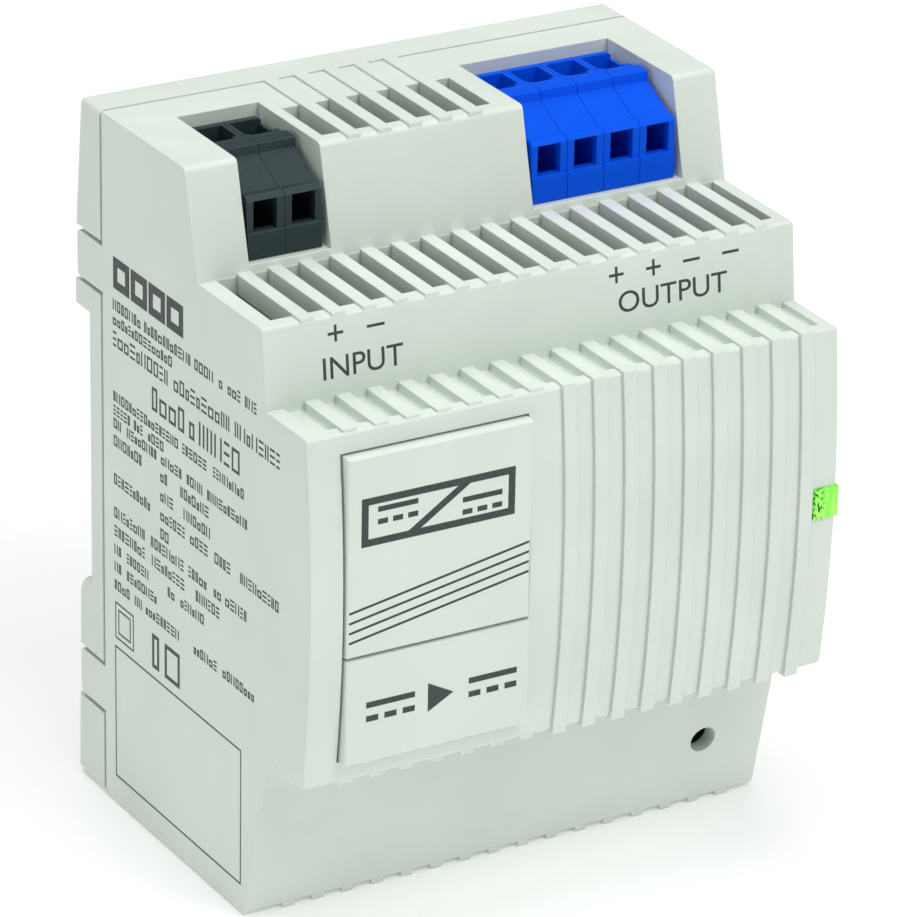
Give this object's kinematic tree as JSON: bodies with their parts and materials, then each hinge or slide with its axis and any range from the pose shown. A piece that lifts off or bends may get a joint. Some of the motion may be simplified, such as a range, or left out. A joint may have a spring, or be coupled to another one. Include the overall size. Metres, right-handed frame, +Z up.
{
  "type": "din rail power supply",
  "caption": "Stepped plastic power supply for a 35 mm DIN rail, with spring-clamp terminals, vent slots, marker plates and a status lens.",
  "frame": {"origin": "bottom centre of the bounding box", "axes": "+Z up, -Y out of the front with the marker plates, +Y towards the rail, X across the width"},
  "size_m": [0.072, 0.0586, 0.0897],
  "materials": {
    "housing": "pale green-grey, fine satin grain",
    "base": "pale green-grey, fine satin grain",
    "latch": "pale green-grey, fine satin grain",
    "marker": "pale green-grey, smooth satin",
    "grey_terminal": "dark slate grey, fine grain",
    "blue_terminal": "bright blue, semi-gloss",
    "spring_steel": "bright spring steel",
    "contact_metal": "tin plated copper",
    "lens": "bright green, translucent",
    "led": "clear epoxy",
    "trimmer": "blue, satin",
    "trimmer_rotor": "white, satin",
    "board": "green solder resist",
    "screws": "zinc plated",
    "ferrite": "sintered, dull",
    "bobbin": "black moulded",
    "winding": "yellow film tape",
    "copper": "enamelled copper wire",
    "capacitor_sleeve": "shrunk sleeve",
    "film": "moulded box",
    "package": "moulded epoxy",
    "heatsink": "extruded, bare",
    "ceramic_blue": "coated disc",
    "ceramic_dark": "coated disc"
  },
  "bodies": {
    "device": {"front_housing": "housing", "rear_base": "base", "input_terminal_block": "grey_terminal", "output_terminal_block": "blue_terminal", "input_current_bars": "contact_metal", "output_current_bars": "contact_metal", "upper_marker_plate": "marker", "lower_marker_plate": "marker", "status_lens": "lens", "status_led": "led", "trimmer_body": "trimmer", "main_board": "board", "side_board": "board", "board_screws": "screws", "transformer_core": "ferrite", "transformer_bobbin": "bobbin", "transformer_winding": "winding", "input_choke_core": "ferrite", "input_choke_winding": "copper", "bulk_capacitor": "capacitor_sleeve", "film_capacitor": "film", "output_capacitors": "capacitor_sleeve", "output_choke": "ferrite", "switch_transistor": "package", "primary_heatsink": "heatsink", "output_rectifier": "package", "output_heatsink": "heatsink", "varistor": "ceramic_blue", "inrush_limiter": "ceramic_dark", "input_fuse": "package", "interference_capacitor": "ceramic_blue", "optocoupler": "package", "controller_chip": "package", "small_board_parts": "package"},
    "latch": {"rail_latch": "latch", "latch_spring": "spring_steel"},
    "adjuster": {"trimmer_rotor": "trimmer_rotor"},
    "input_clamp_1": {"input_clamp_1": "spring_steel"},
    "input_clamp_2": {"input_clamp_2": "spring_steel"},
    "output_clamp_1": {"output_clamp_1": "spring_steel"},
    "output_clamp_2": {"output_clamp_2": "spring_steel"},
    "output_clamp_3": {"output_clamp_3": "spring_steel"},
    "output_clamp_4": {"output_clamp_4": "spring_steel"}
  },
  "joints": [
    {"name": "latch_pull", "type": "slide", "parent": "device", "child": "latch", "axis": [0, 0, 1], "range_m": [-0.0035, 0], "stiffness_N_per_m": 1500, "springref_m": 0.001},
    {"name": "adjuster_turn", "type": "hinge", "parent": "device", "child": "adjuster", "pos_m": [0.0265, -0.0097, 0.00955], "axis": [0, 1, 0], "range_deg": [-135, 135]},
    {"name": "input_clamp_1_press", "type": "slide", "parent": "device", "child": "input_clamp_1", "axis": [0, 0, 1], "range_m": [-0.0016, 0], "stiffness_N_per_m": 1500, "springref_m": 0.0005},
    {"name": "input_clamp_2_press", "type": "slide", "parent": "device", "child": "input_clamp_2", "axis": [0, 0, 1], "range_m": [-0.0016, 0], "stiffness_N_per_m": 1500, "springref_m": 0.0005},
    {"name": "output_clamp_1_press", "type": "slide", "parent": "device", "child": "output_clamp_1", "axis": [0, 0, 1], "range_m": [-0.0016, 0], "stiffness_N_per_m": 1500, "springref_m": 0.0005},
    {"name": "output_clamp_2_press", "type": "slide", "parent": "device", "child": "output_clamp_2", "axis": [0, 0, 1], "range_m": [-0.0016, 0], "stiffness_N_per_m": 1500, "springref_m": 0.0005},
    {"name": "output_clamp_3_press", "type": "slide", "parent": "device", "child": "output_clamp_3", "axis": [0, 0, 1], "range_m": [-0.0016, 0], "stiffness_N_per_m": 1500, "springref_m": 0.0005},
    {"name": "output_clamp_4_press", "type": "slide", "parent": "device", "child": "output_clamp_4", "axis": [0, 0, 1], "range_m": [-0.0016, 0], "stiffness_N_per_m": 1500, "springref_m": 0.0005}
  ]
}
